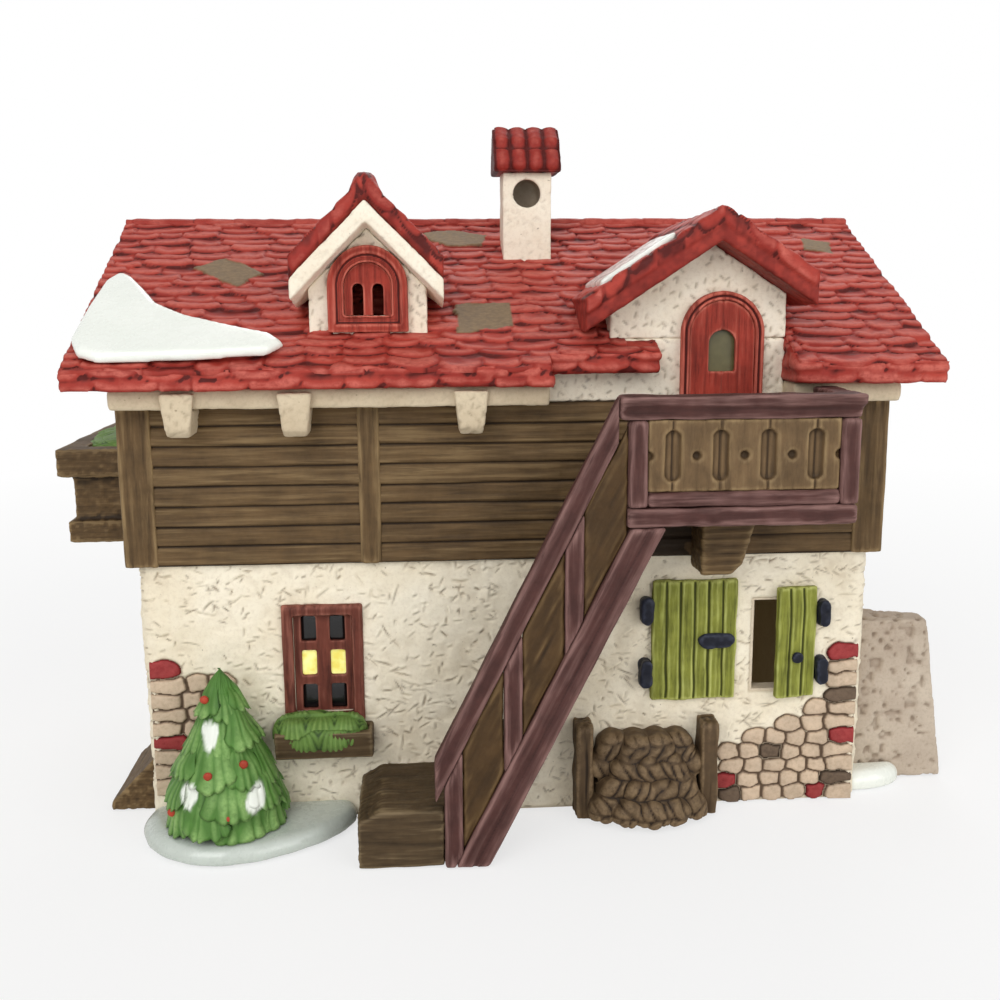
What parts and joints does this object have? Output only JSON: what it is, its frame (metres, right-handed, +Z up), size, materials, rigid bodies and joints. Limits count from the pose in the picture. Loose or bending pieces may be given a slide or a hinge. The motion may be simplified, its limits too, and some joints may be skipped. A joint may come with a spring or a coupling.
{
  "type": "ceramic village house",
  "caption": "Ceramic chalet for a lit christmas village: stucco ground floor, timber storey, shingled roof with dormers and chimney, outside stair to a balcony, clip-in lamp at the back.",
  "frame": {"origin": "centre of the floor's underside, on the surface the house stands on", "axes": "+Z up, front faces -Y, +X to the viewer's right along the ridge"},
  "size_m": [0.2192, 0.1513, 0.1625],
  "materials": {
    "stucco": "unglazed, scratched, matt cream",
    "cream": "unglazed, matt cream",
    "timber": "matt dark brown paint over plank relief",
    "red_tile": "matt brick red paint over shingle relief",
    "snow": "white gloss glaze",
    "frame_red": "matt red brown paint",
    "door_red": "matt bright red paint",
    "mauve_rail": "matt mauve brown paint",
    "brown_board": "matt olive brown paint",
    "shutter_green": "matt olive green paint",
    "iron": "blue black paint",
    "lit_yellow": "yellow painted panes",
    "pale_stone": "matt beige stones",
    "red_stone": "matt red stones",
    "brown_stone": "matt brown stones",
    "tree_green": "matt green with pale tips",
    "yard_beige": "matt pinkish beige",
    "white_plastic": "moulded socket",
    "spring_steel": "bent spring strip",
    "brass": "screw cap",
    "bulb_glass": "clear glass"
  },
  "bodies": {
    "house": {"ground_floor_walls": "stucco", "base_plate": "stucco", "eaves_soffit": "cream", "eaves_corbels": "cream", "window_dormer_walls": "cream", "window_dormer_barge": "cream", "door_dormer_walls": "cream", "door_wall": "cream", "chimney_stack": "cream", "timber_storey": "timber", "timber_posts": "timber", "gable_ends": "timber", "window_box": "timber", "balcony_bracket": "timber", "stair_foot_block": "timber", "rack_posts": "timber", "rack_firewood": "timber", "side_balcony": "timber", "cellar_hatch": "timber", "roof_shell": "red_tile", "short_eave": "red_tile", "front_shingles": "red_tile", "back_shingles": "red_tile", "chimney_cap": "red_tile", "window_dormer_roof": "red_tile", "door_dormer_roof": "red_tile", "roof_snow": "snow", "tree_snow_pad": "snow", "yard_snow": "snow", "window_casing": "frame_red", "window_sash": "frame_red", "window_dormer_frame": "door_red", "window_dormer_sash": "door_red", "door_frame": "door_red", "door_leaf": "door_red", "balcony_top_rail": "mauve_rail", "balcony_bottom_rail": "mauve_rail", "balcony_posts": "mauve_rail", "balcony_deck": "mauve_rail", "stair_handrail": "mauve_rail", "stair_stringer": "mauve_rail", "stair_posts": "mauve_rail", "balcony_panels": "brown_board", "stair_panels": "brown_board", "stair_flight": "brown_board", "left_shutter": "shutter_green", "right_shutter": "shutter_green", "shutter_ironwork": "iron", "lit_panes": "lit_yellow", "pale_stones": "pale_stone", "red_stones": "red_stone", "brown_stones": "brown_stone", "tree": "tree_green", "window_box_greens": "tree_green", "side_balcony_greens": "tree_green", "yard_wall": "yard_beige"},
    "lamp": {"lamp_socket": "white_plastic", "lamp_clip": "spring_steel", "bulb_cap": "brass", "bulb_glass": "bulb_glass"}
  },
  "joints": [
    {"name": "lamp_pull", "type": "slide", "parent": "house", "child": "lamp", "axis": [0, 1, 0], "range_m": [0, 0.07]}
  ]
}
